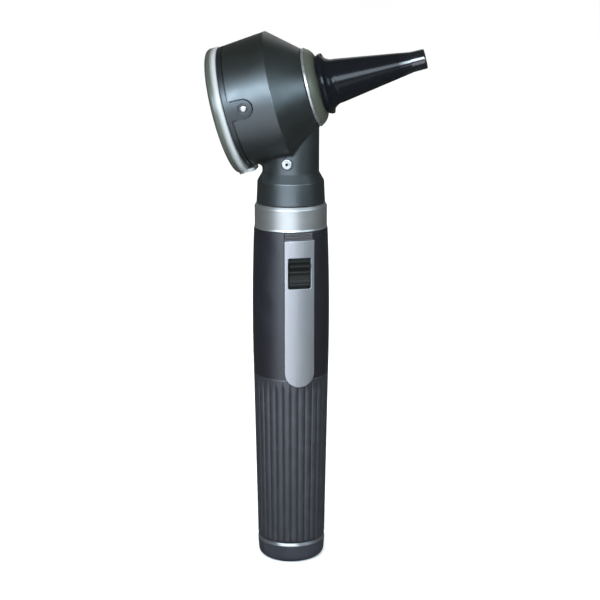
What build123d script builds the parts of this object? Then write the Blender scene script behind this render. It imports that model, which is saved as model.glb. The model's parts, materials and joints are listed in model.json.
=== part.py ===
from build123d import *
import math
import os

# A pocket otoscope, in millimetres. The origin is the centre of the flat underside of the end cap.
# +Z runs up the handle. The head looks along +X, tilted up, and its air port faces -Y.

# Cells and the stack inside the handle
CELL_R = 7.25
CELL_LENGTH = 50.5
CELL_NUB_R = 2.75
CELL_NUB_HEIGHT = 1.0
CELLS_BOTTOM = 6.3
CELLS_TOP = CELLS_BOTTOM + 2 * CELL_LENGTH

# Handle shell and grip
GRIP_BOTTOM = 7.1
GRIP_TOP = 62.8
GRIP_BOTTOM_R = 10.94
GRIP_TOP_R = 12.0
RIB_COUNT = 30
GROOVE_R = 0.75
GROOVE_DEPTH = 0.5
SHELL_CORE_R = 9.9
SHELL_BELLY_R = 12.25
SHELL_BELLY_Z = 79.7
SHELL_TOP = 110.0
SHELL_TOP_R = 11.65
SPIGOT_R = 10.5
SPIGOT_TOP = 111.8
BORE_R = 8.2

# Screw threads: real ridges on the male parts, plain bores around them
THREAD_PITCH = 1.5
RIDGE_HEIGHT = 0.4
RIDGE_FOOT = 0.9
RIDGE_CREST = 0.3
RIDGE_OVERLAP = 0.15

# End cap
CAP_TOP = 6.9
CAP_TOP_R = 11.0
CAP_BOTTOM_R = 10.6
CAP_ROUND = 2.2
CAP_LIP_HEIGHT = 0.9
CAP_LIP_R = 10.68
CAP_FLOOR = 2.0
CAP_CAVITY_R = 7.55
CAP_SPIGOT_R = 8.35
CAP_SPIGOT_TOP = 13.2
CAP_BORE_R = 8.85
CAP_BORE_TOP = 15.3

# Collar and washer
COLLAR_BOTTOM = 110.05
COLLAR_TOP = 117.8
COLLAR_BOTTOM_R = 11.6
COLLAR_FLARE_TOP = 110.75
COLLAR_BODY_R = 11.42
COLLAR_SLOPE_BOTTOM = 116.9
COLLAR_TOP_R = 10.95
COLLAR_BORE_R = 9.4
WASHER_BORE_R = 9.35
WASHER_OUTER_R = 10.7
WASHER_BOTTOM = 117.87
WASHER_TOP = 118.13

# Clip, its root and the switch, all built facing +X and turned to CLIP_ANGLE
CLIP_ANGLE = -71.5
CLIP_BOTTOM = 60.8
CLIP_TOP = 107.9
CLIP_WIDTH = 9.5
CLIP_OUTER = 13.7
CLIP_THICKNESS = 0.9
CLIP_CROWN_R = 22.5
WINDOW_BOTTOM = 92.7
WINDOW_TOP = 102.4
WINDOW_WIDTH = 7.1
KNOB_BOTTOM = 92.95
KNOB_TOP = 100.75
KNOB_WIDTH = 6.4
KNOB_CREST = 14.9
SKIRT_FLOOR = 11.3
STRIP_INNER = 8.45
STRIP_OUTER = 8.7
STRIP_WIDTH = 3.0
STRIP_GROOVE_OUTER = 8.8
STRIP_TOP = 93.0
UPPER_CONTACT_BOTTOM = 99.5

# Neck of the head
NECK_BOTTOM = 118.2
NECK_BOTTOM_R = 10.8
NECK_SHOULDER = 124.8
NECK_SHOULDER_R = 10.5
NECK_WAIST = 127.6
NECK_R = 8.92
NECK_SOCKET_R = 7.6
NECK_SOCKET_TOP = 127.2
NECK_BORE_R = 5.2
NECK_BLEND_R = 1.2
CONNECTOR_BOTTOM = 112.1
CONNECTOR_R = 8.85
LAMP_BUSH_R = 5.6
LAMP_BASE_R = 3.5
BULB_R = 2.7
BULB_BOTTOM = 123.0
BULB_TOP = 129.6

# Air port on the neck
PORT_Z = 131.1
PORT_SHANK_R = 1.4
PORT_RECESS_R = 2.0
PORT_BEAD_R = 1.6
PORT_BEAD_START = 9.3
PORT_BORE_R = 0.45
PORT_REACH = 10.5

# Head: local Z runs along the optical axis, local X is up and local Y is towards the port side
HEAD_CENTRE_Z = 152.06
HEAD_TILT = 14.57
FRAME_REAR = -18.05
FRAME_REAR_R = 18.86
FRAME_FRONT = -16.75
DRUM_REAR = -16.2
CREASE = -3.15
CREASE_R = 20.13
CONE_FRONT = 6.33
CONE_FRONT_R = 12.16
CHAMBER_R = 15.6
CHAMBER_SHOULDER = -5.0
CHAMBER_FRONT = 3.4
CHAMBER_FRONT_R = 8.4
WINDOW_R = 13.4
GASKET_INNER_R = 13.8
GASKET_OUTER_R = 14.4
EAR_CENTRE = -12.4
EAR_R = 2.68
EAR_FLOOR = 17.6
EAR_GAP = 0.45
PIN_SHANK_R = 0.9
PIN_HEAD_R = 1.2
PIN_POCKET_R = 1.75
PIN_POCKET_FLOOR = 18.5

# Lens plate
PLATE_FRONT = -18.35
PLATE_REAR = -22.1
PLATE_R = 19.8
PLATE_DROP = -0.7
LENS_R = 14.2
LENS_EDGE_FRONT = -19.2
LENS_EDGE_REAR = -21.5
LENS_FRONT_BULGE = 0.75
LENS_REAR_BULGE = 1.9
PIVOT_UP = 16.4
PIVOT_R = 1.0
PIVOT_CLEARANCE = 0.05
LIP_UNDER = -20.45
LIP_OVER = -19.35
LIP_FRONT = -16.3
LIP_WIDTH = 10.0

# Nose, front ring, ejector and speculum
NOSE_BASE_R = 6.2
BOSS_R = 6.92
BOSS_FRONT = 8.6
RING_BORE_R = 7.0
RING_REAR = 6.45
RING_FRONT = 9.86
RING_FRONT_R = 8.85
EJECTOR_R = 8.2
EJECTOR_BORE_R = 8.3
TRIM_FRONT = 7.35
TRIM_R = 12.3
RING_REAR_R = 12.05
NOSE_FLANGE_R = 7.8
NOSE_SEAT_R = 5.95
NOSE_SEAT_END = 13.6
NOSE_TIP = 27.0
NOSE_TIP_R = 3.7
VIEW_BASE_R = 4.3
VIEW_TIP_R = 2.3
FIBRE_R = 0.5
FIBRE_BEND_R = 4.8
FIBRE_ENTRY_DOWN = -5.2
FIBRE_EXIT_DOWN = -3.05
SPECULUM_REAR = 10.15
SPECULUM_CREST_R = 9.43
SPECULUM_CONE = 15.43
SPECULUM_CONE_R = 6.8
SPECULUM_BEAD = 38.5
SPECULUM_TIP = 42.84
SPECULUM_TIP_R = 3.05
SPECULUM_BORE_R = 2.3
SPECULUM_SEAT_R = 6.0

HEAD = Location(
    Plane(
        origin=(0, 0, HEAD_CENTRE_Z),
        x_dir=(-math.sin(math.radians(HEAD_TILT)), 0, math.cos(math.radians(HEAD_TILT))),
        z_dir=(math.cos(math.radians(HEAD_TILT)), 0, math.sin(math.radians(HEAD_TILT))),
    )
)
CLIP_SIDE = Rot(0, 0, CLIP_ANGLE)


def turned(points):
    """A body of revolution about Z from a closed outline of (radius, height) points."""
    outline = Polyline(*[(radius, 0, height) for radius, height in points], close=True)
    return revolve(make_face(outline), axis=Axis.Z)


def turned_edges(*edges):
    """A body of revolution about Z from edges that close an outline in the XZ plane."""
    return revolve(make_face(edges), axis=Axis.Z)


def ring(inner, outer, bottom, top):
    return turned([(inner, bottom), (outer, bottom), (outer, top), (inner, top)])


def rod(radius, bottom, top):
    return turned([(0, bottom), (radius, bottom), (radius, top), (0, top)])


def slab(x_low, x_high, y_low, y_high, z_low, z_high):
    size = (x_high - x_low, y_high - y_low, z_high - z_low)
    centre = ((x_low + x_high) / 2, (y_low + y_high) / 2, (z_low + z_high) / 2)
    return Pos(*centre) * Box(*size)


def cross_rod(radius, y_low, y_high):
    """A round rod along Y."""
    return Pos(0, (y_low + y_high) / 2, 0) * Rot(90, 0, 0) * Cylinder(radius, y_high - y_low)


def circles_at(shape, height, radius=None):
    """The round edges of a turned shape that lie at one height, and at one radius if it is given."""
    found = []
    for edge in shape.edges().filter_by(GeomType.CIRCLE):
        if abs(edge.arc_center.Z - height) > 0.01:
            continue
        if radius is None or abs(edge.radius - radius) < 0.01:
            found.append(edge)
    return found


def thread_ridge(core_radius, bottom, top):
    """One helical ridge wound round a core."""
    inner = core_radius - RIDGE_OVERLAP
    path = Helix(pitch=THREAD_PITCH, height=top - bottom, radius=inner)
    half_foot = RIDGE_FOOT / 2
    half_crest = RIDGE_CREST / 2
    reach = RIDGE_OVERLAP + RIDGE_HEIGHT
    corners = [(0, -half_foot), (reach, -half_crest), (reach, half_crest), (0, half_foot)]
    start = Plane(origin=(inner, 0, 0), x_dir=(1, 0, 0), z_dir=(0, -1, 0))
    profile = start * make_face(Polyline(*corners, close=True))
    return Pos(0, 0, bottom) * sweep(profile, path=path, is_frenet=True)


def thumb_slot(width, centre, end, low, high):
    """A flat-backed tab that ends in a half circle: along Z, width across X, from low to high in Y."""
    tab = slab(-width, width, low, high, end, centre)
    return tab + Pos(0, 0, centre) * cross_rod(width, low, high)


# Handle

def handle_shell():
    body = turned_edges(
        Line((CAP_BORE_R, 0, GRIP_BOTTOM), (SHELL_CORE_R, 0, GRIP_BOTTOM)),
        Line((SHELL_CORE_R, 0, GRIP_BOTTOM), (SHELL_CORE_R, 0, GRIP_TOP)),
        Line((SHELL_CORE_R, 0, GRIP_TOP), (GRIP_TOP_R, 0, GRIP_TOP)),
        ThreePointArc(
            (GRIP_TOP_R, 0, GRIP_TOP),
            (SHELL_BELLY_R, 0, SHELL_BELLY_Z),
            (SHELL_TOP_R, 0, SHELL_TOP),
        ),
        Line((SHELL_TOP_R, 0, SHELL_TOP), (SPIGOT_R, 0, SHELL_TOP)),
        Line((SPIGOT_R, 0, SHELL_TOP), (SPIGOT_R, 0, SPIGOT_TOP)),
        Line((SPIGOT_R, 0, SPIGOT_TOP), (BORE_R, 0, SPIGOT_TOP)),
        Line((BORE_R, 0, SPIGOT_TOP), (BORE_R, 0, CAP_BORE_TOP)),
        Line((BORE_R, 0, CAP_BORE_TOP), (CAP_BORE_R, 0, CAP_BORE_TOP)),
        Line((CAP_BORE_R, 0, CAP_BORE_TOP), (CAP_BORE_R, 0, GRIP_BOTTOM)),
    )
    body = fillet(circles_at(body, SHELL_TOP, SHELL_TOP_R), 0.3)
    groove_half = STRIP_WIDTH / 2 + 0.3
    strip_groove = slab(0, STRIP_GROOVE_OUTER, -groove_half, groove_half, CAP_BORE_TOP, SPIGOT_TOP)
    strip_groove -= rod(BORE_R - 0.5, CAP_BORE_TOP, SPIGOT_TOP)
    stem_slot = slab(BORE_R - 0.5, SHELL_BELLY_R + 1, -1.5, 1.5, 94.6, 99.4)
    skirt_pocket = slab(SKIRT_FLOOR, SHELL_BELLY_R + 1, -4.5, 4.5, 90.0, 105.2)
    root_pocket = slab(10.9, SHELL_BELLY_R + 1, -4.4, 4.4, 105.2, SHELL_TOP)
    for cut in (strip_groove, stem_slot, skirt_pocket, root_pocket):
        body -= CLIP_SIDE * cut
    return body


def grip_sleeve():
    sleeve = turned(
        [
            (SHELL_CORE_R, GRIP_BOTTOM),
            (GRIP_BOTTOM_R, GRIP_BOTTOM),
            (GRIP_TOP_R, GRIP_TOP),
            (SHELL_CORE_R, GRIP_TOP),
        ]
    )
    sleeve = chamfer(circles_at(sleeve, GRIP_BOTTOM, GRIP_BOTTOM_R), 0.15)
    slope = math.degrees(math.atan((GRIP_TOP_R - GRIP_BOTTOM_R) / (GRIP_TOP - GRIP_BOTTOM)))
    offset = GRIP_BOTTOM_R + GROOVE_R - GROOVE_DEPTH
    groove_length = GRIP_TOP - GRIP_BOTTOM - 1.4
    groove = Cylinder(GROOVE_R, groove_length, align=(Align.CENTER, Align.CENTER, Align.MIN))
    groove += Pos(0, 0, groove_length) * Sphere(GROOVE_R)
    groove = Pos(offset, 0, GRIP_BOTTOM) * Rot(0, slope, 0) * groove
    turns = [Rot(0, 0, index * 360 / RIB_COUNT) * groove for index in range(RIB_COUNT)]
    return sleeve - turns


def collar_ring():
    collar = turned(
        [
            (SPIGOT_R, COLLAR_BOTTOM),
            (COLLAR_BOTTOM_R, COLLAR_BOTTOM),
            (COLLAR_BODY_R, COLLAR_FLARE_TOP),
            (COLLAR_BODY_R, COLLAR_SLOPE_BOTTOM),
            (COLLAR_TOP_R, COLLAR_TOP),
            (COLLAR_BORE_R, COLLAR_TOP),
            (COLLAR_BORE_R, SPIGOT_TOP + 0.05),
            (SPIGOT_R, SPIGOT_TOP + 0.05),
        ]
    )
    collar = chamfer(circles_at(collar, COLLAR_TOP, COLLAR_BORE_R), 0.3)
    collar = fillet(circles_at(collar, COLLAR_TOP, COLLAR_TOP_R), 0.15)
    collar = fillet(circles_at(collar, COLLAR_SLOPE_BOTTOM, COLLAR_BODY_R), 0.6)
    return fillet(circles_at(collar, COLLAR_BOTTOM, COLLAR_BOTTOM_R), 0.2)


def neck_washer():
    return ring(WASHER_BORE_R, WASHER_OUTER_R, WASHER_BOTTOM, WASHER_TOP)


def cell(bottom):
    shoulder = bottom + CELL_LENGTH - CELL_NUB_HEIGHT
    body = rod(CELL_R, bottom, shoulder)
    body = fillet(circles_at(body, bottom) + circles_at(body, shoulder), 0.6)
    return body + rod(CELL_NUB_R, shoulder - 0.5, bottom + CELL_LENGTH)


def insulator_plug():
    plug = ring(1.2, BORE_R - 0.02, CELLS_TOP + 0.5, 111.4)
    groove_half = STRIP_WIDTH / 2 + 0.3
    relief = slab(BORE_R - 0.3, BORE_R + 1, -groove_half, groove_half, CELLS_TOP, 112)
    return plug - CLIP_SIDE * relief


def contact_rivet():
    head = rod(2.4, CELLS_TOP, CELLS_TOP + 0.5)
    shank = rod(1.2, CELLS_TOP + 0.5, 111.4)
    button = rod(2.2, 111.4, 112.35)
    button = fillet(circles_at(button, 112.35), 0.5)
    return head + shank + button


def strip(bottom, top):
    half = STRIP_WIDTH / 2
    return CLIP_SIDE * slab(STRIP_INNER, STRIP_OUTER, -half, half, bottom, top)


# Clip and switch

def crowned_bar(outer, thickness, width, bottom, top):
    """A bar with a slightly domed cross-section, its crown at x = outer."""
    centre = outer - CLIP_CROWN_R
    bar = ring(CLIP_CROWN_R - thickness, CLIP_CROWN_R, bottom, top)
    return Pos(centre, 0, 0) * bar & slab(0, outer + 1, -width / 2, width / 2, bottom, top)


def pocket_clip():
    half = CLIP_WIDTH / 2
    bar = crowned_bar(CLIP_OUTER, CLIP_THICKNESS, CLIP_WIDTH, CLIP_BOTTOM, CLIP_TOP)
    outline = thumb_outline(half, CLIP_BOTTOM, CLIP_TOP)
    bar = bar & outline
    middle = (WINDOW_BOTTOM + WINDOW_TOP) / 2
    window = Pos(CLIP_OUTER, 0, middle) * Box(6, WINDOW_WIDTH, WINDOW_TOP - WINDOW_BOTTOM)
    window = fillet(window.edges().filter_by(Axis.X), 0.5)
    bar = bar - window
    outer_edges = [edge for edge in bar.edges() if edge.center().X > CLIP_OUTER - 0.55]
    return CLIP_SIDE * fillet(outer_edges, 0.2)


def thumb_outline(half_width, bottom, top):
    """A block with a rounded lower end, seen along X."""
    straight = slab(10, 16, -half_width, half_width, bottom + half_width, top)
    rounded = Pos(13, 0, bottom + half_width) * Rot(0, 90, 0) * Cylinder(half_width, 6)
    return straight + rounded


def clip_root():
    block = slab(10.9, 12.4, -4.4, 4.4, 105.4, SHELL_TOP)
    for groove_bottom in (108.2, 109.15):
        block -= slab(11.6, 13, -5, 5, groove_bottom, groove_bottom + 0.5)
    outer_edges = block.edges().filter_by(Axis.Z).group_by(Axis.X)[-1]
    return CLIP_SIDE * fillet(outer_edges, 0.3)


def switch_slider():
    skirt = slab(11.5, 12.0, -4.2, 4.2, 90.6, 103.4)
    side = [
        (11.9, KNOB_BOTTOM),
        (13.1, KNOB_BOTTOM),
        (13.45, KNOB_BOTTOM + 0.8),
        (13.2, KNOB_BOTTOM + 3.4),
        (13.9, KNOB_BOTTOM + 6.0),
        (KNOB_CREST, KNOB_TOP - 0.9),
        (KNOB_CREST, KNOB_TOP - 0.3),
        (KNOB_CREST - 0.4, KNOB_TOP),
        (11.9, KNOB_TOP),
    ]
    outline = make_face(Polyline(*[(x, 0, z) for x, z in side], close=True))
    knob = extrude(outline, amount=KNOB_WIDTH / 2, both=True)
    for step in range(4):
        height = KNOB_BOTTOM + 1.3 + 1.3 * step
        knob -= Pos(13.85, 0, height) * Rot(90, 0, 0) * Cylinder(0.62, KNOB_WIDTH + 1)
    stem = slab(8.4, 11.6, -1.2, 1.2, 95.0, 97.6)
    return CLIP_SIDE * (skirt + knob + stem)


def switch_wiper():
    leaf = slab(8.2, 8.4, -1.7, 1.7, 91.0, 98.6)
    return CLIP_SIDE * leaf


# End cap group

def end_cap():
    cup = turned(
        [
            (0, 0),
            (CAP_BOTTOM_R, 0),
            (CAP_TOP_R, CAP_TOP - CAP_LIP_HEIGHT),
            (CAP_LIP_R, CAP_TOP),
            (CAP_SPIGOT_R, CAP_TOP),
            (CAP_SPIGOT_R, CAP_SPIGOT_TOP),
            (CAP_CAVITY_R, CAP_SPIGOT_TOP),
            (CAP_CAVITY_R, CAP_FLOOR),
            (0, CAP_FLOOR),
        ]
    )
    cup = fillet(circles_at(cup, 0), CAP_ROUND)
    cup = fillet(circles_at(cup, CAP_TOP - CAP_LIP_HEIGHT, CAP_TOP_R), 0.5)
    cup -= ring(9.05, 9.85, 6.3, CAP_TOP + 0.1)
    return cup + thread_ridge(CAP_SPIGOT_R, 8.3, 12.5)


def cap_o_ring():
    return Pos(0, 0, 6.7) * Torus(9.45, 0.38)


def spring_plate():
    return ring(0.8, 7.0, CAP_FLOOR + 0.05, CAP_FLOOR + 0.45)


def battery_spring():
    """A conical coil of round wire, squeezed between its plate and the lower cell."""
    wire = 0.35
    bottom = CAP_FLOOR + 0.45 + wire
    height = CELLS_BOTTOM - 0.05 - wire - bottom
    path = Helix(pitch=height / 3, height=height, radius=5.6, cone_angle=-35)
    path = Pos(0, 0, bottom) * path
    start = Plane(origin=path @ 0, z_dir=path % 0)
    return sweep(start * Circle(wire), path=path, is_frenet=True)


# Head

def drum_outer_radius(along):
    """Outer radius of the rear drum, which widens a little towards the crease."""
    share = (along - FRAME_REAR) / (CREASE - FRAME_REAR)
    return FRAME_REAR_R + share * (CREASE_R - FRAME_REAR_R)


def neck_outside():
    return turned(
        [
            (0, NECK_BOTTOM),
            (NECK_BOTTOM_R, NECK_BOTTOM),
            (NECK_SHOULDER_R, NECK_SHOULDER),
            (NECK_R, NECK_WAIST),
            (NECK_R, HEAD_CENTRE_Z - 6),
            (0, HEAD_CENTRE_Z - 6),
        ]
    )


def drum_outside():
    drum = turned(
        [
            (0, DRUM_REAR),
            (drum_outer_radius(DRUM_REAR), DRUM_REAR),
            (CREASE_R, CREASE),
            (CONE_FRONT_R, CONE_FRONT),
            (BOSS_R, CONE_FRONT),
            (BOSS_R, BOSS_FRONT),
            (0, BOSS_FRONT),
        ]
    )
    drum = fillet(circles_at(drum, CREASE, CREASE_R), 0.5)
    return chamfer(circles_at(drum, CONE_FRONT, CONE_FRONT_R), 0.15)


def chamber():
    return turned(
        [
            (0, DRUM_REAR - 1),
            (CHAMBER_R, DRUM_REAR - 1),
            (CHAMBER_R, CHAMBER_SHOULDER),
            (CHAMBER_FRONT_R, CHAMBER_FRONT),
            (0, CHAMBER_FRONT),
        ]
    )


def neck_seam(shell):
    """The edges where the neck runs into the drum."""
    neck = neck_outside()
    drum = HEAD * drum_outside()
    seam = []
    for edge in shell.edges():
        middle = edge @ 0.5
        on_neck = abs(math.hypot(middle.X, middle.Y) - NECK_R) < 0.01
        if on_neck and neck.distance_to(middle) < 0.01 and drum.distance_to(middle) < 0.01:
            seam.append(edge)
    return seam


def head_housing():
    shell = neck_outside()
    shell = fillet(circles_at(shell, NECK_SHOULDER, NECK_SHOULDER_R), 0.4)
    shell -= HEAD * rod(CREASE_R, CONE_FRONT, CONE_FRONT + CREASE_R)
    shell = shell + HEAD * drum_outside()
    shell = fillet(neck_seam(shell), NECK_BLEND_R)
    shell -= HEAD * chamber()
    shell -= HEAD * rod(NOSE_BASE_R, CHAMBER_FRONT - 1, BOSS_FRONT + 1)
    shell -= rod(NECK_SOCKET_R, NECK_BOTTOM - 1, NECK_SOCKET_TOP)
    shell -= rod(NECK_BORE_R, NECK_SOCKET_TOP - 1, HEAD_CENTRE_Z - 8)
    recess = thumb_slot(EAR_R + EAR_GAP, EAR_CENTRE, DRUM_REAR - 1, EAR_FLOOR, CREASE_R + 2)
    recess = mirrored_pair(recess)
    pin_hole = mirrored_pair(Pos(0, 0, EAR_CENTRE) * cross_rod(PIN_SHANK_R, 16.2, EAR_FLOOR + 0.5))
    shell -= HEAD * recess
    shell -= HEAD * pin_hole
    shell -= Pos(0, 0, PORT_Z) * cross_rod(PORT_SHANK_R, -PORT_REACH, -NECK_BORE_R + 1)
    shell -= Pos(0, 0, PORT_Z) * cross_rod(PORT_RECESS_R, -PORT_REACH, -NECK_R + 0.6)
    return shell


def mirrored_pair(shape):
    return shape + mirror(shape, about=Plane.XZ)


def rear_frame():
    spigot_front = -14.6
    frame = turned(
        [
            (WINDOW_R, FRAME_REAR),
            (FRAME_REAR_R, FRAME_REAR),
            (drum_outer_radius(FRAME_FRONT), FRAME_FRONT),
            (18.4, FRAME_FRONT),
            (18.4, DRUM_REAR),
            (CHAMBER_R, DRUM_REAR),
            (CHAMBER_R, spigot_front),
            (WINDOW_R, spigot_front),
        ]
    )
    frame -= ring(GASKET_INNER_R - 0.05, GASKET_OUTER_R + 0.05, FRAME_REAR - 1, FRAME_REAR + 0.5)
    ear = thumb_slot(EAR_R, EAR_CENTRE, FRAME_REAR + 0.6, EAR_FLOOR, CREASE_R + 2)
    envelope = turned(
        [
            (0, FRAME_REAR),
            (FRAME_REAR_R, FRAME_REAR),
            (CREASE_R, CREASE),
            (0, CREASE),
        ]
    )
    ear = ear & envelope
    ear -= Pos(0, 0, EAR_CENTRE) * cross_rod(PIN_SHANK_R, 15, 22)
    ear -= Pos(0, 0, EAR_CENTRE) * cross_rod(PIN_POCKET_R, PIN_POCKET_FLOOR, 22)
    frame += mirrored_pair(ear)
    pin_hole = Pos(PIVOT_UP, 0, 0) * rod(PIVOT_R, FRAME_REAR - 1, DRUM_REAR)
    return HEAD * (frame - pin_hole)


def frame_pins():
    shank = cross_rod(PIN_SHANK_R, 16.3, PIN_POCKET_FLOOR + 0.1)
    head = cross_rod(PIN_HEAD_R, PIN_POCKET_FLOOR, 19.3)
    head = fillet(head.edges().sort_by(Axis.Y)[-1], 0.7)
    pin = Pos(0, 0, EAR_CENTRE) * (shank + head)
    return HEAD * mirrored_pair(pin)


def window_gasket():
    return HEAD * ring(GASKET_INNER_R, GASKET_OUTER_R, FRAME_REAR - 0.18, FRAME_REAR + 0.48)


def pivot_washer():
    return HEAD * Pos(PIVOT_UP, 0, 0) * ring(PIVOT_R + 0.02, 1.85, FRAME_REAR - 0.22, FRAME_REAR)


def lens_pivot_pin():
    shank = rod(PIVOT_R, PLATE_REAR + 0.4, DRUM_REAR - 0.05)
    head = rod(1.9, PLATE_REAR - 0.25, PLATE_REAR + 0.45)
    head = fillet(circles_at(head, PLATE_REAR - 0.25), 0.3)
    return HEAD * Pos(PIVOT_UP, 0, 0) * (shank + head)


def lens_plate():
    plate = Pos(PLATE_DROP, 0, 0) * rod(PLATE_R, PLATE_REAR, PLATE_FRONT)
    plate = fillet(circles_at(plate, PLATE_REAR), 1.3)
    plate = chamfer(circles_at(plate, PLATE_FRONT), 0.25)
    half = LIP_WIDTH / 2
    lip = slab(LIP_UNDER, LIP_OVER, -half, half, PLATE_REAR + 0.9, LIP_FRONT)
    lip = fillet(lip.edges().filter_by(Axis.X).group_by(Axis.Z)[-1], 1.6)
    plate = plate + lip
    plate -= Pos(PLATE_DROP, 0, 0) * rod(LENS_R, PLATE_REAR - 1, PLATE_FRONT + 1)
    plate -= Pos(PIVOT_UP, 0, 0) * rod(PIVOT_R + PIVOT_CLEARANCE, PLATE_REAR - 1, PLATE_FRONT + 1)
    plate -= Pos(PIVOT_UP, 0, 0) * rod(2.0, PLATE_REAR - 1, PLATE_REAR + 0.5)
    return HEAD * plate


def lens_face(crown, edge, radius):
    """An arc from the crown on the axis to the lens edge, from the height of the bulge."""
    bulge = crown - edge
    sphere = (radius ** 2 + bulge ** 2) / (2 * abs(bulge))
    centre = crown - math.copysign(sphere, bulge)
    half_angle = math.asin(radius / sphere) / 2
    middle_height = centre + math.copysign(sphere * math.cos(half_angle), bulge)
    middle = (sphere * math.sin(half_angle), 0, middle_height)
    return ThreePointArc((0, 0, crown), middle, (radius, 0, edge))


def magnifier_lens():
    front_crown = LENS_EDGE_FRONT + LENS_FRONT_BULGE
    rear_crown = LENS_EDGE_REAR - LENS_REAR_BULGE
    lens = turned_edges(
        Line((0, 0, rear_crown), (0, 0, front_crown)),
        lens_face(front_crown, LENS_EDGE_FRONT, LENS_R),
        Line((LENS_R, 0, LENS_EDGE_FRONT), (LENS_R, 0, LENS_EDGE_REAR)),
        lens_face(rear_crown, LENS_EDGE_REAR, LENS_R),
    )
    return HEAD * Pos(PLATE_DROP, 0, 0) * lens


def insufflation_port():
    """A hose nipple: a shank in the neck wall and a wider bead that holds the hose."""
    shank = cross_rod(PORT_SHANK_R, -PORT_BEAD_START, -NECK_BORE_R)
    bead = cross_rod(PORT_BEAD_R, -PORT_REACH, -PORT_BEAD_START)
    bead = fillet(bead.edges().sort_by(Axis.Y)[0], 0.3)
    tube = shank + bead
    tube -= cross_rod(PORT_BORE_R, -PORT_REACH - 1, 0)
    tube -= rod(NECK_BORE_R, -5, 5)
    return Pos(0, 0, PORT_Z) * tube


# Nose group

def front_ring():
    body = turned_edges(
        Line((RING_BORE_R, 0, TRIM_FRONT), (RING_REAR_R, 0, TRIM_FRONT)),
        ThreePointArc(
            (RING_REAR_R, 0, TRIM_FRONT), (10.77, 0, 9.0), (RING_FRONT_R, 0, RING_FRONT)
        ),
        Line((RING_FRONT_R, 0, RING_FRONT), (EJECTOR_BORE_R, 0, RING_FRONT)),
        Line((EJECTOR_BORE_R, 0, RING_FRONT), (EJECTOR_BORE_R, 0, BOSS_FRONT)),
        Line((EJECTOR_BORE_R, 0, BOSS_FRONT), (RING_BORE_R, 0, BOSS_FRONT)),
        Line((RING_BORE_R, 0, BOSS_FRONT), (RING_BORE_R, 0, TRIM_FRONT)),
    )
    return HEAD * body


def trim_ring():
    trim = ring(RING_BORE_R, TRIM_R, RING_REAR, TRIM_FRONT)
    trim = fillet(circles_at(trim, RING_REAR, TRIM_R) + circles_at(trim, TRIM_FRONT, TRIM_R), 0.3)
    return HEAD * trim


def nose_cone():
    cone = turned(
        [
            (0, CHAMBER_FRONT - 1.2),
            (NOSE_BASE_R, CHAMBER_FRONT - 1.2),
            (NOSE_BASE_R, BOSS_FRONT + 0.05),
            (NOSE_FLANGE_R, BOSS_FRONT + 0.05),
            (NOSE_FLANGE_R, BOSS_FRONT + 0.35),
            (NOSE_SEAT_R, BOSS_FRONT + 0.35),
            (NOSE_SEAT_R, NOSE_SEAT_END),
            (NOSE_TIP_R, NOSE_TIP),
            (0, NOSE_TIP),
        ]
    )
    cone -= turned(
        [
            (0, CHAMBER_FRONT - 2),
            (VIEW_BASE_R, CHAMBER_FRONT - 2),
            (VIEW_TIP_R, NOSE_TIP),
            (VIEW_TIP_R, NOSE_TIP + 1),
            (0, NOSE_TIP + 1),
        ]
    )
    return HEAD * cone - fibre_rod(FIBRE_R)


def fibre_path():
    """From above the lamp, up the neck and round a bend into the lower wall of the nose."""
    tilt = math.radians(HEAD_TILT)
    entry = CHAMBER_FRONT - 1.2
    fall = (FIBRE_EXIT_DOWN - FIBRE_ENTRY_DOWN) / (NOSE_TIP - entry)
    corner_along = (FIBRE_ENTRY_DOWN - fall * entry) * math.tan(tilt) / (1 - fall * math.tan(tilt))
    corner_up = corner_along / math.tan(tilt)
    corner = HEAD * Pos(corner_up, 0, corner_along)
    tip = HEAD * Pos(FIBRE_EXIT_DOWN, 0, NOSE_TIP)
    points = [(0, 0, BULB_TOP + 0.8), tuple(corner.position), tuple(tip.position)]
    return FilletPolyline(*points, radius=FIBRE_BEND_R)


def fibre_rod(radius):
    path = fibre_path()
    start = Plane(origin=path @ 0, z_dir=path % 0)
    return sweep(start * Circle(radius), path=path)


def fibre_collector():
    return ring(FIBRE_R, 2.0, BULB_TOP + 0.5, BULB_TOP + 5.5)


def collector_spider():
    """A three-armed holder that centres the fibre collector in the neck bore."""
    spider = ring(2.0, 2.8, BULB_TOP + 1.5, BULB_TOP + 4.0)
    for arm in range(3):
        spider += Rot(0, 0, 30 + 120 * arm) * slab(2.6, NECK_BORE_R - 0.06, -0.6, 0.6, 131.1, 133.6)
    return spider


def ejector_sleeve():
    face = ring(NOSE_SEAT_R + 0.08, EJECTOR_R, 9.05, 9.95)
    skirt = ring(EJECTOR_R - 0.3, EJECTOR_R, 8.7, 9.1)
    return HEAD * (face + skirt)


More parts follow.
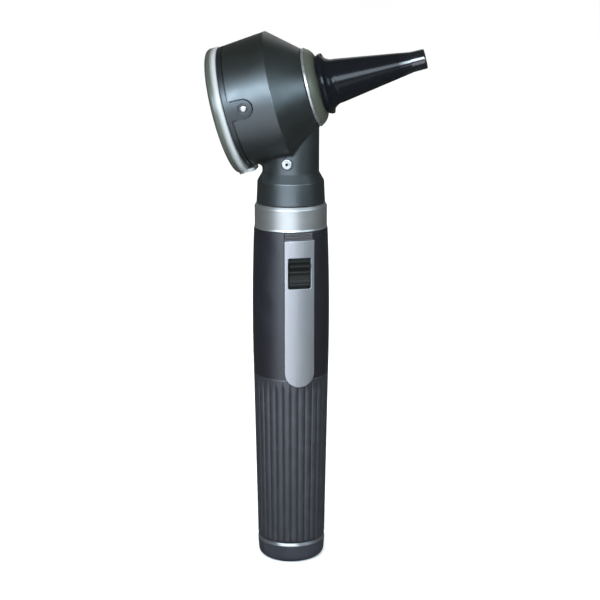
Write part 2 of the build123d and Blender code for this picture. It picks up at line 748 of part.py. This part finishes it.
def speculum():
    flange_front = 11.95
    bead_inner = 2.4
    funnel = turned_edges(
        Line((8.3, 0, SPECULUM_REAR), (8.95, 0, SPECULUM_REAR)),
        Line((8.95, 0, SPECULUM_REAR), (SPECULUM_CREST_R, 0, 11.2)),
        Line((SPECULUM_CREST_R, 0, 11.2), (SPECULUM_CREST_R, 0, flange_front)),
        Line((SPECULUM_CREST_R, 0, flange_front), (8.7, 0, flange_front)),
        ThreePointArc(
            (8.7, 0, flange_front), (7.35, 0, 13.3), (SPECULUM_CONE_R, 0, SPECULUM_CONE)
        ),
        Line((SPECULUM_CONE_R, 0, SPECULUM_CONE), (3.15, 0, SPECULUM_BEAD)),
        Line((3.15, 0, SPECULUM_BEAD), (SPECULUM_TIP_R, 0, SPECULUM_TIP)),
        Line((SPECULUM_TIP_R, 0, SPECULUM_TIP), (SPECULUM_BORE_R, 0, SPECULUM_TIP)),
        Line((SPECULUM_BORE_R, 0, SPECULUM_TIP), (bead_inner, 0, SPECULUM_BEAD)),
        Line((bead_inner, 0, SPECULUM_BEAD), (SPECULUM_SEAT_R, 0, 13.8)),
        Line((SPECULUM_SEAT_R, 0, 13.8), (SPECULUM_SEAT_R, 0, flange_front)),
        Line((SPECULUM_SEAT_R, 0, flange_front), (8.3, 0, SPECULUM_REAR)),
    )
    funnel = fillet(circles_at(funnel, SPECULUM_TIP), 0.3)
    funnel = fillet(circles_at(funnel, 11.2) + circles_at(funnel, flange_front, SPECULUM_CREST_R), 0.15)
    return HEAD * funnel


# Lamp group

def head_connector():
    tube = turned(
        [
            (LAMP_BUSH_R, CONNECTOR_BOTTOM),
            (CONNECTOR_R, CONNECTOR_BOTTOM),
            (CONNECTOR_R, NECK_BOTTOM),
            (NECK_SOCKET_R, NECK_BOTTOM),
            (NECK_SOCKET_R, 126.8),
            (LAMP_BUSH_R, 126.8),
        ]
    )
    return tube + thread_ridge(CONNECTOR_R, 112.8, 116.9)


def lamp_socket():
    return ring(LAMP_BASE_R, LAMP_BUSH_R, 112.7, 122.0)


def lamp_base():
    base = rod(LAMP_BASE_R, 114.2, BULB_BOTTOM)
    flange = rod(4.4, 122.0, BULB_BOTTOM)
    contact = rod(1.2, 112.5, 114.2)
    contact = fillet(circles_at(contact, 112.5), 0.4)
    return base + flange + contact


def lamp_bulb():
    shoulder = BULB_TOP - BULB_R
    wall = 0.4
    glass = rod(BULB_R, BULB_BOTTOM, shoulder) + Pos(0, 0, shoulder) * Sphere(BULB_R)
    hollow = rod(BULB_R - wall, BULB_BOTTOM + 0.6, shoulder)
    hollow += Pos(0, 0, shoulder) * Sphere(BULB_R - wall)
    return glass - hollow


NODES = {
    "handle_shell": handle_shell(),
    "grip_sleeve": grip_sleeve(),
    "collar_ring": collar_ring(),
    "neck_washer": neck_washer(),
    "battery_lower": cell(CELLS_BOTTOM),
    "battery_upper": cell(CELLS_BOTTOM + CELL_LENGTH),
    "insulator_plug": insulator_plug(),
    "contact_rivet": contact_rivet(),
    "contact_strip": strip(13.6, STRIP_TOP),
    "switch_contact": strip(UPPER_CONTACT_BOTTOM, SPIGOT_TOP),
    "clip_root": clip_root(),
    "pocket_clip": pocket_clip(),
    "switch_slider": switch_slider(),
    "switch_wiper": switch_wiper(),
    "end_cap": end_cap(),
    "cap_o_ring": cap_o_ring(),
    "spring_plate": spring_plate(),
    "battery_spring": battery_spring(),
    "head_housing": head_housing(),
    "rear_frame": rear_frame(),
    "frame_pins": frame_pins(),
    "window_gasket": window_gasket(),
    "pivot_washer": pivot_washer(),
    "lens_pivot_pin": lens_pivot_pin(),
    "lens_plate": lens_plate(),
    "magnifier_lens": magnifier_lens(),
    "insufflation_port": insufflation_port(),
    "front_ring": front_ring(),
    "trim_ring": trim_ring(),
    "nose_cone": nose_cone(),
    "fibre_bundle": fibre_rod(FIBRE_R),
    "fibre_collector": fibre_collector(),
    "collector_spider": collector_spider(),
    "ejector_sleeve": ejector_sleeve(),
    "speculum": speculum(),
    "head_connector": head_connector(),
    "lamp_socket": lamp_socket(),
    "lamp_base": lamp_base(),
    "lamp_bulb": lamp_bulb(),
}

os.makedirs("parts", exist_ok=True)
for name, shape in NODES.items():
    export_step(shape, f"parts/{name}.step")
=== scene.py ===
"""The looks of the pocket otoscope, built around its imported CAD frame. Lengths are in metres."""
import json
import math

import bmesh
import bpy
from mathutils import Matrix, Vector


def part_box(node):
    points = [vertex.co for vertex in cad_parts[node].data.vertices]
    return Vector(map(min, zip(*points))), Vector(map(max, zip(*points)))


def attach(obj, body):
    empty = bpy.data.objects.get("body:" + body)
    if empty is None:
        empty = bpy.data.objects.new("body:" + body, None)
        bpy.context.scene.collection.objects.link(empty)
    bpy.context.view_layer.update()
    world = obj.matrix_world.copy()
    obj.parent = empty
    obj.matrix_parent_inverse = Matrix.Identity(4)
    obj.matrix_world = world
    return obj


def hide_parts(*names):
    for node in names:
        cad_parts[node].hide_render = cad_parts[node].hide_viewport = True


MM = 0.001

UPWARD = (0.0, 0.0, 1.0)

# The head's optical axis: its direction, and where it crosses the handle's axis
HEAD_TILT = math.radians(14.57)
HEAD_AXIS = (math.cos(HEAD_TILT), 0.0, math.sin(HEAD_TILT))
HEAD_CENTRE_HEIGHT = 152.06 * MM
HEAD_CENTRE_ALONG = HEAD_AXIS[2] * HEAD_CENTRE_HEIGHT
LENS_PLATE_FRONT = -18.35 * MM

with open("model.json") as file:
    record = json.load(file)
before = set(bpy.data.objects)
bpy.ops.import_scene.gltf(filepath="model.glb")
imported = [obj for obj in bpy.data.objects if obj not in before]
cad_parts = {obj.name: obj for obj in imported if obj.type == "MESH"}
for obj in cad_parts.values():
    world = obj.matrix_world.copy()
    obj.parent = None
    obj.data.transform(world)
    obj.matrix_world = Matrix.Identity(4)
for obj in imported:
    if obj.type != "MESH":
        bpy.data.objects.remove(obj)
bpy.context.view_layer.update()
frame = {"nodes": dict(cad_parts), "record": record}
nodes = frame["nodes"]


# Materials

class Finish:
    """A procedural material: one Principled shader and the nodes that vary it over the surface."""

    def __init__(self, name, colour, roughness, **sockets):
        self.material = bpy.data.materials.new(name)
        self.material.use_nodes = True
        self.tree = self.material.node_tree
        self.shader = self.tree.nodes["Principled BSDF"]
        self.shader.inputs["Base Color"].default_value = (*colour, 1.0)
        self.shader.inputs["Roughness"].default_value = roughness
        for socket, value in sockets.items():
            self.shader.inputs[socket.replace("_", " ")].default_value = value
        self.colour = colour
        self.roughness = roughness
        self.normal = None
        self.place = self.tree.nodes.new("ShaderNodeTexCoord").outputs["Object"]

    def node(self, kind, **inputs):
        made = self.tree.nodes.new(kind)
        for socket, value in inputs.items():
            target = made.inputs[socket.replace("_", " ")]
            if isinstance(value, bpy.types.NodeSocket):
                self.tree.links.new(value, target)
            else:
                target.default_value = value
        return made

    def spread(self, stretch):
        """Surface coordinates, stretched so that a texture runs long along some axes."""
        mapping = self.node("ShaderNodeMapping", Vector=self.place)
        mapping.inputs["Scale"].default_value = stretch
        return mapping.outputs["Vector"]

    def noise(self, size, detail=3.0, stretch=(1.0, 1.0, 1.0), distortion=0.0):
        """Noise whose features are about size metres across."""
        made = self.node(
            "ShaderNodeTexNoise",
            Vector=self.spread(stretch),
            Scale=1.0 / size,
            Detail=detail,
            Distortion=distortion,
        )
        return made.outputs["Fac"]

    def cells(self, size, stretch=(1.0, 1.0, 1.0)):
        made = self.node("ShaderNodeTexVoronoi", Vector=self.spread(stretch), Scale=1.0 / size)
        return made.outputs["Distance"]

    def remap(self, value, low, high, to_low, to_high):
        made = self.node("ShaderNodeMapRange", Value=value)
        made.inputs["From Min"].default_value = low
        made.inputs["From Max"].default_value = high
        made.inputs["To Min"].default_value = to_low
        made.inputs["To Max"].default_value = to_high
        return made.outputs["Result"]

    def maths(self, operation, first, second):
        made = self.tree.nodes.new("ShaderNodeMath")
        made.operation = operation
        for index, value in enumerate((first, second)):
            if isinstance(value, bpy.types.NodeSocket):
                self.tree.links.new(value, made.inputs[index])
            else:
                made.inputs[index].default_value = value
        return made.outputs[0]

    def tint(self, factor, colour):
        """Mixes another colour in where factor is high."""
        made = self.tree.nodes.new("ShaderNodeMix")
        made.data_type = "RGBA"
        base = self.shader.inputs["Base Color"]
        if base.is_linked:
            self.tree.links.new(base.links[0].from_socket, made.inputs[6])
        else:
            made.inputs[6].default_value = (*self.colour, 1.0)
        made.inputs[7].default_value = (*colour, 1.0)
        self.tree.links.new(factor, made.inputs[0])
        self.tree.links.new(made.outputs[2], base)

    def vary_roughness(self, factor, low, high):
        result = self.remap(factor, 0.3, 0.7, low, high)
        self.tree.links.new(result, self.shader.inputs["Roughness"])
        return result

    def along(self, direction):
        """How far a surface point lies along a direction of the row frame, in metres."""
        made = self.tree.nodes.new("ShaderNodeVectorMath")
        made.operation = "DOT_PRODUCT"
        self.tree.links.new(self.place, made.inputs[0])
        made.inputs[1].default_value = direction
        return made.outputs["Value"]

    def drive(self, socket, factor, low, high):
        """Varies one shader value over the surface, from low to high as factor goes from 0 to 1."""
        self.tree.links.new(self.remap(factor, 0.0, 1.0, low, high), self.shader.inputs[socket])

    def bump(self, height, depth, strength=1.0):
        """Adds relief of about depth metres."""
        made = self.node("ShaderNodeBump", Height=height, Strength=strength, Distance=depth)
        if self.normal is not None:
            self.tree.links.new(self.normal, made.inputs["Normal"])
        self.normal = made.outputs["Normal"]
        self.tree.links.new(self.normal, self.shader.inputs["Normal"])

    def edges(self, radius):
        """1 on sharp edges, 0 on flats: how far a bevelled normal leans from the true one."""
        bevel = self.node("ShaderNodeBevel", Radius=radius)
        bevel.samples = 4
        true = self.tree.nodes.new("ShaderNodeNewGeometry").outputs["Normal"]
        dot = self.tree.nodes.new("ShaderNodeVectorMath")
        dot.operation = "DOT_PRODUCT"
        self.tree.links.new(bevel.outputs["Normal"], dot.inputs[0])
        self.tree.links.new(true, dot.inputs[1])
        return self.remap(dot.outputs["Value"], 0.99, 0.8, 0.0, 1.0)


def moulded(name, colour, roughness, grain=0.28 * MM, depth=0.012 * MM, worn=None, **sockets):
    """Moulded plastic with a fine eroded texture, handling smudges and slightly rubbed edges."""
    finish = Finish(name, colour, roughness, **sockets)
    smudge = finish.noise(9 * MM, detail=5.0, distortion=0.6)
    finish.vary_roughness(smudge, roughness - 0.05, roughness + 0.06)
    if worn is not None:
        rub = finish.maths("MULTIPLY", finish.edges(0.25 * MM), finish.noise(2.2 * MM, detail=6.0))
        finish.tint(finish.remap(rub, 0.15, 0.6, 0.0, 0.8), worn)
    blotch = finish.noise(16 * MM, detail=2.0)
    lighter = tuple(min(1.0, channel * 1.35 + 0.001) for channel in colour)
    finish.tint(finish.remap(blotch, 0.35, 0.75, 0.0, 0.5), lighter)
    finish.bump(finish.noise(grain, detail=2.0), depth)
    finish.bump(finish.cells(grain * 1.7), depth * 0.7)
    return finish.material


def turned_metal(name, colour, roughness, lathe_axis, mark=0.11 * MM, depth=0.0025 * MM, **sockets):
    """Metal with fine tool marks around one axis of the row frame."""
    finish = Finish(name, colour, roughness, **{"Metallic": 1.0, **sockets})
    stretch = [0.02, 0.02, 0.02]
    stretch[lathe_axis] = 1.0
    marks = finish.noise(mark, detail=4.0, stretch=stretch)
    finish.vary_roughness(marks, roughness - 0.05, roughness + 0.08)
    haze = finish.noise(6 * MM, detail=3.0)
    darker = tuple(channel * 0.82 for channel in colour)
    finish.tint(finish.remap(haze, 0.4, 0.75, 0.0, 0.45), darker)
    finish.bump(marks, depth)
    return finish.material


def brushed_metal(name, colour, roughness, **sockets):
    """Sheet metal brushed along Z, with a few deeper scratches."""
    finish = Finish(name, colour, roughness, **{"Metallic": 1.0, **sockets})
    grain = finish.noise(0.09 * MM, detail=5.0, stretch=(1.0, 1.0, 0.012))
    finish.vary_roughness(grain, roughness - 0.06, roughness + 0.1)
    scratch = finish.noise(0.5 * MM, detail=3.0, stretch=(1.0, 1.0, 0.05), distortion=0.3)
    deep = finish.remap(scratch, 0.66, 0.72, 0.0, 1.0)
    finish.tint(finish.remap(deep, 0.0, 1.0, 0.0, 0.35), tuple(channel * 0.6 for channel in colour))
    finish.bump(grain, 0.003 * MM)
    finish.bump(deep, -0.006 * MM)
    return finish.material


def polished_metal(name, colour, roughness=0.12, **sockets):
    finish = Finish(name, colour, roughness, **{"Metallic": 1.0, **sockets})
    haze = finish.noise(1.6 * MM, detail=6.0)
    finish.vary_roughness(haze, roughness * 0.7, roughness * 1.8)
    finish.bump(finish.noise(0.3 * MM, detail=4.0), 0.0008 * MM)
    return finish.material


def rubber(name, colour, roughness=0.72):
    finish = Finish(name, colour, roughness, Specular_IOR_Level=0.8)
    speck = finish.noise(0.18 * MM, detail=2.0)
    finish.vary_roughness(speck, roughness - 0.06, roughness + 0.08)
    dust = finish.noise(3.5 * MM, detail=7.0)
    paler = tuple(min(1.0, channel * 1.9 + 0.006) for channel in colour)
    finish.tint(finish.remap(dust, 0.48, 0.8, 0.0, 0.45), paler)
    finish.bump(speck, 0.02 * MM)
    return finish.material


def glossy_plastic(name, colour, roughness=0.16, **sockets):
    """Injection moulded gloss: faint flow waves and hairline swirls."""
    finish = Finish(name, colour, roughness, **sockets)
    swirl = finish.noise(0.7 * MM, detail=6.0, distortion=1.2)
    finish.vary_roughness(swirl, roughness - 0.04, roughness + 0.07)
    waves = finish.noise(3.0 * MM, detail=1.0)
    finish.bump(waves, 0.006 * MM)
    finish.bump(finish.noise(0.12 * MM, detail=2.0), 0.0006 * MM)
    return finish.material


def speculum_plastic():
    """Black gloss that wiping has left brightest at the tip."""
    finish = Finish(
        "speculum_gloss",
        (0.004, 0.0045, 0.0055),
        0.16,
        Specular_IOR_Level=0.14,
        Coat_Roughness=0.14,
        Coat_IOR=1.9,
    )
    swirl = finish.noise(0.7 * MM, detail=6.0, distortion=1.2)
    finish.vary_roughness(swirl, 0.13, 0.22)
    tip = HEAD_CENTRE_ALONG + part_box("speculum")[1].x / HEAD_AXIS[0]
    polish = finish.remap(finish.along(HEAD_AXIS), tip - 9 * MM, tip - 4 * MM, 0.0, 1.0)
    finish.drive("Coat Weight", polish, 0.0, 1.0)
    finish.bump(finish.noise(3.0 * MM, detail=1.0), 0.006 * MM)
    finish.bump(finish.noise(0.12 * MM, detail=2.0), 0.0006 * MM)
    return finish.material


def smoked_acrylic():
    """Grey translucent acrylic, with a painted highlight along its front rim standing in for light
    gathered in the edge.
    """
    finish = Finish(
        "smoked_acrylic",
        (0.052, 0.055, 0.043),
        0.4,
        IOR=1.49,
        Transmission_Weight=0.12,
        Subsurface_Weight=0.2,
        Coat_Weight=0.12,
        Coat_Roughness=0.2,
    )
    finish.shader.inputs["Subsurface Radius"].default_value = (0.002, 0.002, 0.0018)
    cloud = finish.noise(5 * MM, detail=3.0)
    finish.vary_roughness(cloud, 0.35, 0.45)
    finish.tint(finish.remap(cloud, 0.35, 0.7, 0.0, 0.5), (0.035, 0.038, 0.029))
    # Painted highlight: the base colour turns pale near the front rim, in place of light carried to the
    # edge.
    front = HEAD_CENTRE_ALONG + LENS_PLATE_FRONT
    glow = finish.remap(finish.along(HEAD_AXIS), front - 2.0 * MM, front - 0.8 * MM, 0.0, 1.0)
    finish.tint(glow, (0.3, 0.31, 0.3))
    finish.bump(finish.noise(1.2 * MM, detail=2.0), 0.003 * MM)
    return finish.material


def clear_glass(name, colour, roughness=0.02, ior=1.5):
    finish = Finish(name, colour, roughness, IOR=ior, Transmission_Weight=1.0)
    dust = finish.noise(2.0 * MM, detail=8.0)
    finish.vary_roughness(dust, roughness, roughness + 0.05)
    finish.bump(finish.noise(5 * MM, detail=1.0), 0.001 * MM)
    return finish.material


def fibre_ends():
    """Packed glass fibres, each a fine cell."""
    finish = Finish("fibre_glass", (0.75, 0.76, 0.68), 0.2, IOR=1.6, Transmission_Weight=0.4)
    cell = finish.cells(0.05 * MM)
    finish.tint(finish.remap(cell, 0.3, 0.6, 0.0, 0.7), (0.3, 0.3, 0.26))
    finish.bump(cell, 0.004 * MM)
    return finish.material


def rimmed_cap():
    """Moulded cap whose sloping top rim is rubbed bright."""
    finish = Finish("cap_anthracite", (0.016, 0.0165, 0.021), 0.4)
    smudge = finish.noise(7 * MM, detail=5.0, distortion=0.6)
    scuff = finish.noise(1.1 * MM, detail=6.0)
    finish.tint(finish.remap(smudge, 0.4, 0.75, 0.0, 0.5), (0.03, 0.031, 0.037))
    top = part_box("grip_sleeve")[0].z
    height = finish.along(UPWARD)
    band = finish.remap(height, top - 1.25 * MM, top - 1.05 * MM, 0.0, 1.0)
    worn = finish.maths("MULTIPLY", band, finish.remap(scuff, 0.2, 0.5, 0.88, 1.0))
    finish.tint(worn, (0.19, 0.195, 0.2))
    finish.drive("Metallic", worn, 0.0, 0.85)
    finish.drive("Roughness", worn, 0.42, 0.34)
    finish.bump(finish.noise(0.28 * MM, detail=2.0), 0.008 * MM)
    return finish.material


def cell_jacket():
    """A plain printed sleeve on a dry cell: a dark body with a copper-coloured band, and no marks."""
    finish = Finish("cell_jacket", (0.03, 0.03, 0.035), 0.3, Metallic=0.6, Coat_Weight=0.5)
    cells_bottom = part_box("battery_lower")[0].z
    cell_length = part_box("battery_lower")[1].z - cells_bottom
    along = finish.maths("SUBTRACT", finish.along(UPWARD), cells_bottom)
    along = finish.maths("DIVIDE", along, cell_length)
    along = finish.maths("FRACT", along, 0.0)
    finish.tint(finish.maths("GREATER_THAN", along, 0.68), (0.62, 0.3, 0.12))
    finish.tint(finish.maths("GREATER_THAN", along, 0.972), (0.7, 0.7, 0.68))
    finish.tint(finish.maths("LESS_THAN", along, 0.012), (0.7, 0.7, 0.68))
    finish.vary_roughness(finish.noise(0.9 * MM, detail=5.0), 0.25, 0.38)
    finish.bump(finish.noise(0.5 * MM, detail=3.0), 0.003 * MM)
    return finish.material


FINISHES = {
    "handle_plastic": moulded(
        "handle_plastic", (0.0035, 0.0032, 0.006), 0.44, worn=(0.03, 0.03, 0.04), Specular_IOR_Level=0.9
    ),
    "grip_rubber": rubber("grip_rubber", (0.0125, 0.0125, 0.0155), 0.45),
    "satin_silver": turned_metal("satin_silver", (0.45, 0.45, 0.44), 0.42, 2, Metallic=0.94),
    "clip_steel": brushed_metal("clip_steel", (0.38, 0.38, 0.39), 0.42, Metallic=0.96),
    "root_grey": brushed_metal("root_grey", (0.15, 0.14, 0.145), 0.4),
    "switch_black": moulded(
        "switch_black", (0.0035, 0.004, 0.003), 0.5, worn=(0.014, 0.015, 0.012), Specular_IOR_Level=0.28
    ),
    "cap_anthracite": rimmed_cap(),
    "head_black": moulded(
        "head_black",
        (0.004, 0.0045, 0.0036),
        0.4,
        worn=(0.02, 0.022, 0.023),
        Specular_IOR_Level=1.0,
        Specular_Tint=(0.87, 0.96, 1.0, 1.0),
        IOR=1.6,
    ),
    "frame_black": moulded(
        "frame_black",
        (0.004, 0.0045, 0.0045),
        0.38,
        worn=(0.025, 0.028, 0.03),
        Specular_IOR_Level=0.9,
        Specular_Tint=(0.87, 0.96, 1.0, 1.0),
    ),
    "nose_black": turned_metal("nose_black", (0.02, 0.02, 0.022), 0.35, 0),
    "ring_grey": moulded(
        "ring_grey", (0.055, 0.06, 0.046), 0.4, grain=0.16 * MM, depth=0.004 * MM, Metallic=0.3
    ),
    "polished_nickel": polished_metal("polished_nickel", (0.42, 0.42, 0.42), 0.27, Metallic=0.88),
    "connector_nickel": turned_metal("connector_nickel", (0.66, 0.65, 0.62), 0.25, 2),
    "smoked_acrylic": smoked_acrylic(),
    "lens_glass": clear_glass("lens_glass", (0.93, 0.96, 0.95)),
    "bulb_glass": clear_glass("bulb_glass", (0.96, 0.96, 0.94)),
    "fibre_glass": fibre_ends(),
    "speculum_gloss": speculum_plastic(),
    "seal_rubber": rubber("seal_rubber", (0.012, 0.012, 0.012)),
    "washer_dark": glossy_plastic("washer_dark", (0.015, 0.015, 0.015), 0.3),
    "ivory_plastic": glossy_plastic("ivory_plastic", (0.68, 0.64, 0.52), 0.32, Subsurface_Weight=0.1),
    "contact_brass": polished_metal("contact_brass", (0.72, 0.52, 0.24), 0.22),
    "spring_steel": polished_metal("spring_steel", (0.6, 0.6, 0.6), 0.18),
    "cell_jacket": cell_jacket(),
}


def add_mesh(name, built):
    """Turns a finished bmesh into an object in the scene."""
    mesh = bpy.data.meshes.new(name)
    built.to_mesh(mesh)
    built.free()
    obj = bpy.data.objects.new(name, mesh)
    bpy.context.scene.collection.objects.link(obj)
    return obj


def dress(obj, slot):
    """Gives a node or piece its finish."""
    obj.data.materials.clear()
    obj.data.materials.append(FINISHES[slot])


for entry in frame["record"]["subparts"]:
    dress(nodes[entry["node"]], entry["material_slot"])


# The grip, with rounded ribs

RIB_COUNT = 30
RIB_DEPTH = 0.45 * MM
STEPS_PER_RIB = 16
GRIP_RINGS = 64
GRIP_BOTTOM_R = 10.94 * MM
GRIP_TOP_R = 12.0 * MM
GRIP_CORE_R = 9.92 * MM
RIB_FADE = 4.0 * MM
RIB_ROUNDNESS = 0.93
FOOT_HEIGHT = 0.3 * MM
FOOT_DEPTH = 0.16 * MM


def smooth_step(value):
    value = min(1.0, max(0.0, value))
    return value * value * (3.0 - 2.0 * value)


def rib_valley(across):
    """0 on a rib's crest and 1 in the groove beside it, as across goes from 0 to 1 or -1."""
    height = math.sqrt(1.0 - (RIB_ROUNDNESS * across) ** 2)
    lowest = math.sqrt(1.0 - RIB_ROUNDNESS ** 2)
    return (1.0 - height) / (1.0 - lowest)


def grip_radius(share, across, from_top, from_bottom):
    """Outer radius of the sleeve: grooves narrow to nothing at the top, and the foot is eased in."""
    crest = GRIP_BOTTOM_R + share * (GRIP_TOP_R - GRIP_BOTTOM_R)
    fade = smooth_step((from_top - 0.3 * MM) / RIB_FADE)
    groove = max(0.0, rib_valley(across) - (1.0 - fade))
    foot = FOOT_DEPTH * (1.0 - smooth_step(from_bottom / FOOT_HEIGHT))
    return crest - RIB_DEPTH * groove - foot


def rib_angles():
    """Angles round the sleeve, closer together in the grooves, each with its place across its rib."""
    angles = []
    for rib in range(RIB_COUNT):
        for step in range(STEPS_PER_RIB):
            across = math.sin(math.pi / 2 * (2.0 * step / STEPS_PER_RIB - 1.0))
            angles.append((2.0 * math.pi * (rib + 0.5 + across / 2) / RIB_COUNT, across))
    return angles


def ring_shares(length):
    """Heights of the sleeve's rings as shares of its length: close at the foot and towards the top."""
    shares = [0.0, FOOT_HEIGHT / 3 / length, FOOT_HEIGHT / length]
    for index in range(1, GRIP_RINGS + 1):
        even = index / GRIP_RINGS
        shares.append(even + 0.35 * even * (1.0 - even))
    return shares


def ribbed_grip():
    low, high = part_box("grip_sleeve")
    bottom, top = low.z, high.z
    angles = rib_angles()
    shares = ring_shares(top - bottom)
    built = bmesh.new()
    rings = []
    for share in shares:
        height = bottom + share * (top - bottom)
        ring = []
        for angle, across in angles:
            radius = grip_radius(share, across, top - height, height - bottom)
            ring.append(built.verts.new((radius * math.cos(angle), radius * math.sin(angle), height)))
        rings.append(ring)
    for height in (top, bottom):
        ring = []
        for angle, _ in angles:
            x, y = GRIP_CORE_R * math.cos(angle), GRIP_CORE_R * math.sin(angle)
            ring.append(built.verts.new((x, y, height)))
        rings.append(ring)
    rings.append(rings[0])
    last_outer = len(shares) - 1
    for level in range(len(rings) - 1):
        lower, upper = rings[level], rings[level + 1]
        for index in range(len(lower)):
            after = (index + 1) % len(lower)
            face = built.faces.new((lower[index], lower[after], upper[after], upper[index]))
            face.smooth = level < last_outer or level == last_outer + 1
    bmesh.ops.recalc_face_normals(built, faces=built.faces)
    grip = add_mesh("ribbed_grip", built)
    dress(grip, "grip_rubber")
    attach(grip, "handle")
    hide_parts("grip_sleeve")


ribbed_grip()


# Stage, light and camera

FLOOR_GREY = (0.87, 0.87, 0.87)
SKY_COLOUR = (0.97, 1.0, 0.92)
KEY_COLOUR = (0.74, 0.87, 1.0)
SIDE_COLOUR = (0.7, 0.87, 1.0)
CARD_COLOUR = (0.9, 0.91, 1.0)
SUN_SPREAD = math.radians(120)
SUN_LEAN = (math.radians(12), math.radians(-8), 0.0)


def floor_material():
    finish = Finish("studio_floor", FLOOR_GREY, 0.7, Specular_IOR_Level=0.1)
    finish.vary_roughness(finish.noise(0.4, detail=2.0), 0.65, 0.75)
    return finish.material


def studio_floor(radius=30.0):
    bpy.ops.mesh.primitive_circle_add(vertices=96, radius=radius, fill_type="NGON")
    floor = bpy.context.object
    floor.name = "studio_floor"
    floor.data.materials.append(floor_material())
    floor.visible_glossy = False


def glow_material(name, colour, level):
    glow = bpy.data.materials.new(name)
    glow.use_nodes = True
    shader = glow.node_tree.nodes["Principled BSDF"]
    shader.inputs["Base Color"].default_value = (0.0, 0.0, 0.0, 1.0)
    shader.inputs["Emission Color"].default_value = (*colour, 1.0)
    shader.inputs["Emission Strength"].default_value = level
    return glow


def backdrop(radius=6.0):
    """A white dome behind everything, which gives no light and no reflection."""
    built = bmesh.new()
    bmesh.ops.create_uvsphere(built, u_segments=64, v_segments=32, radius=radius)
    dome = add_mesh("backdrop", built)
    dome.data.materials.append(glow_material("backdrop", (1.0, 1.0, 1.0), 1.0))
    dome.visible_diffuse = False
    dome.visible_glossy = False
    dome.visible_shadow = False


def softbox(name, place, target, width, height, power, colour=(1.0, 1.0, 1.0)):
    light = bpy.data.lights.new(name, "AREA")
    light.shape = "RECTANGLE"
    light.size = width
    light.size_y = height
    light.energy = power
    light.color = colour
    lamp = bpy.data.objects.new(name, light)
    lamp.location = place
    aim = Vector(target) - Vector(place)
    lamp.rotation_euler = aim.to_track_quat("-Z", "Y").to_euler()
    bpy.context.scene.collection.objects.link(lamp)


def sky_wash(strength):
    """A very wide sun that lights the floor evenly and leaves no glint."""
    light = bpy.data.lights.new("sky_wash", "SUN")
    light.energy = strength
    light.angle = SUN_SPREAD
    lamp = bpy.data.objects.new("sky_wash", light)
    lamp.rotation_euler = SUN_LEAN
    lamp.visible_glossy = False
    bpy.context.scene.collection.objects.link(lamp)


def around(azimuth, elevation, distance, centre):
    """A point at an azimuth (0 looks along +Y, +90 along -X) and elevation about a centre."""
    turn = math.radians(azimuth)
    rise = math.radians(elevation)
    x = math.sin(turn) * math.cos(rise)
    y = -math.cos(turn) * math.cos(rise)
    return Vector(centre) + distance * Vector((x, y, math.sin(rise)))


def front_card(first_azimuth, last_azimuth, near, far, level):
    """A glowing sector of the floor in front, seen only in reflections: a white table's sheen."""
    height = 0.4 * MM
    steps = 24
    built = bmesh.new()
    inner = []
    outer = []
    for step in range(steps + 1):
        azimuth = first_azimuth + (last_azimuth - first_azimuth) * step / steps
        for reach, row in ((near, inner), (far, outer)):
            row.append(built.verts.new(around(azimuth, 0.0, reach, (0.0, 0.0, height))))
    for step in range(steps):
        built.faces.new((inner[step], outer[step], outer[step + 1], inner[step + 1]))
    card = add_mesh("front_card", built)
    card.data.materials.append(glow_material("front_card", CARD_COLOUR, level))
    card.visible_camera = False
    card.visible_diffuse = False
    card.visible_shadow = False


def studio_world(level):
    world = bpy.data.worlds.new("studio")
    bpy.context.scene.world = world
    world.use_nodes = True
    background = world.node_tree.nodes["Background"]
    background.inputs["Color"].default_value = (*SKY_COLOUR, 1.0)
    background.inputs["Strength"].default_value = level


CAMERA_AZIMUTH = 6.5
CAMERA_ELEVATION = 13.7
CAMERA_DISTANCE = 0.472
CAMERA_LENS = 88.5
CAMERA_AIM_HEIGHT = 0.086
CAMERA_AIM_RIGHT = 0.0029


def studio_camera():
    turn = math.radians(CAMERA_AZIMUTH)
    right = Vector((math.cos(turn), math.sin(turn), 0.0))
    target = Vector((0.0, 0.0, CAMERA_AIM_HEIGHT)) + right * CAMERA_AIM_RIGHT
    camera = bpy.data.objects.new("camera", bpy.data.cameras.new("camera"))
    camera.data.lens = CAMERA_LENS
    camera.data.sensor_width = 36.0
    camera.data.clip_start = 0.01
    camera.data.clip_end = 100.0
    camera.location = around(CAMERA_AZIMUTH, CAMERA_ELEVATION, CAMERA_DISTANCE, target)
    aim = target - camera.location
    camera.rotation_euler = aim.to_track_quat("-Z", "Y").to_euler()
    bpy.context.scene.collection.objects.link(camera)
    bpy.context.scene.camera = camera


middle = (0.0, 0.0, 0.1)
bpy.context.scene.view_settings.view_transform = "Standard"
studio_floor()
backdrop()
studio_world(0.08)
sky_wash(3.7)
front_card(-38, 24, 0.1, 1.1, 1.1)
softbox("key", around(-4, 20, 1.05, middle), middle, 1.2, 0.42, 24.0, KEY_COLOUR)
softbox("side", around(62, 22, 1.05, middle), middle, 0.4, 0.4, 3.4, SIDE_COLOUR)
softbox("back", around(180, 30, 1.0, middle), middle, 0.5, 0.5, 0.6)
studio_camera()
